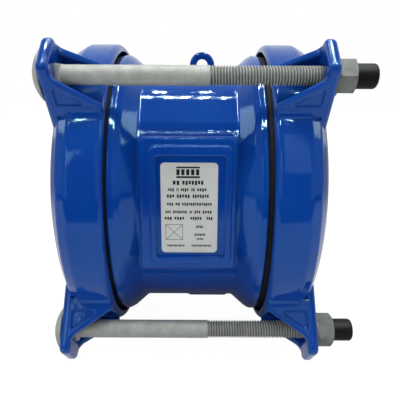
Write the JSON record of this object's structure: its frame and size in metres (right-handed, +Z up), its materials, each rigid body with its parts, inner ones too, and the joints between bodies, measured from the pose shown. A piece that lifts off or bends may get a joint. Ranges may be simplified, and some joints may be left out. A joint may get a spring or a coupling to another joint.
{
  "type": "pipe coupling",
  "caption": "Wide-range mechanical pipe coupling: blue coated sleeve between lugged end rings, drawn together on rubber gaskets by long through bolts with nuts and thread caps.",
  "frame": {"origin": "middle of the sleeve's bore, on the pipe axis", "axes": "+X along the pipe towards the nuts, +Z up through the lifting eye, -Y out of the label pad"},
  "size_m": [0.1986, 0.2108, 0.2108],
  "materials": {
    "blue_coating": "glossy fusion-bonded epoxy on ductile iron",
    "zinc_steel": "dull grey galvanised",
    "black_rubber": "matte",
    "black_plastic": "matte",
    "label_film": "satin printed film"
  },
  "bodies": {
    "sleeve": {"body": "blue_coating", "label": "label_film", "gasket_left": "black_rubber", "gasket_right": "black_rubber"},
    "left_end": {"end_ring_left": "blue_coating", "bolt_1": "zinc_steel", "bolt_2": "zinc_steel", "bolt_3": "zinc_steel", "bolt_4": "zinc_steel"},
    "right_end": {"end_ring_right": "blue_coating", "washer_1": "zinc_steel", "washer_2": "zinc_steel", "washer_3": "zinc_steel", "washer_4": "zinc_steel"},
    "nut_1": {"nut_1": "zinc_steel"},
    "nut_2": {"nut_2": "zinc_steel"},
    "nut_3": {"nut_3": "zinc_steel"},
    "nut_4": {"nut_4": "zinc_steel"},
    "cap_1": {"cap_1": "black_plastic"},
    "cap_2": {"cap_2": "black_plastic"},
    "cap_3": {"cap_3": "black_plastic"},
    "cap_4": {"cap_4": "black_plastic"}
  },
  "joints": [
    {"name": "left_ring_slide", "type": "slide", "parent": "sleeve", "child": "left_end", "axis": [1, 0, 0], "range_m": [0, 0.008], "deforming": ["gasket_left"]},
    {"name": "right_ring_slide", "type": "slide", "parent": "sleeve", "child": "right_end", "axis": [-1, 0, 0], "range_m": [0, 0.008], "deforming": ["gasket_right"]},
    {"name": "nut_1_turn", "type": "hinge", "parent": "right_end", "child": "nut_1", "pos_m": [0.0909, -0.08259, 0.08259], "axis": [-1, 0, 0], "range_deg": [0, 3291.5]},
    {"name": "nut_2_turn", "type": "hinge", "parent": "right_end", "child": "nut_2", "pos_m": [0.0909, 0.08259, 0.08259], "axis": [-1, 0, 0], "range_deg": [0, 3291.5]},
    {"name": "nut_3_turn", "type": "hinge", "parent": "right_end", "child": "nut_3", "pos_m": [0.0909, 0.08259, -0.08259], "axis": [-1, 0, 0], "range_deg": [0, 3291.5]},
    {"name": "nut_4_turn", "type": "hinge", "parent": "right_end", "child": "nut_4", "pos_m": [0.0909, -0.08259, -0.08259], "axis": [-1, 0, 0], "range_deg": [0, 3291.5]},
    {"name": "cap_1_pull", "type": "slide", "parent": "left_end", "child": "cap_1", "axis": [1, 0, 0], "range_m": [0, 0.025]},
    {"name": "cap_2_pull", "type": "slide", "parent": "left_end", "child": "cap_2", "axis": [1, 0, 0], "range_m": [0, 0.025]},
    {"name": "cap_3_pull", "type": "slide", "parent": "left_end", "child": "cap_3", "axis": [1, 0, 0], "range_m": [0, 0.025]},
    {"name": "cap_4_pull", "type": "slide", "parent": "left_end", "child": "cap_4", "axis": [1, 0, 0], "range_m": [0, 0.025]}
  ],
  "couplings": [
    {"joint": "right_ring_slide", "follows": "left_ring_slide", "ratio": 1},
    {"joint": "nut_1_turn", "follows": "left_ring_slide", "rad_per_m": 7180.8},
    {"joint": "nut_2_turn", "follows": "left_ring_slide", "rad_per_m": 7180.8},
    {"joint": "nut_3_turn", "follows": "left_ring_slide", "rad_per_m": 7180.8},
    {"joint": "nut_4_turn", "follows": "left_ring_slide", "rad_per_m": 7180.8}
  ]
}
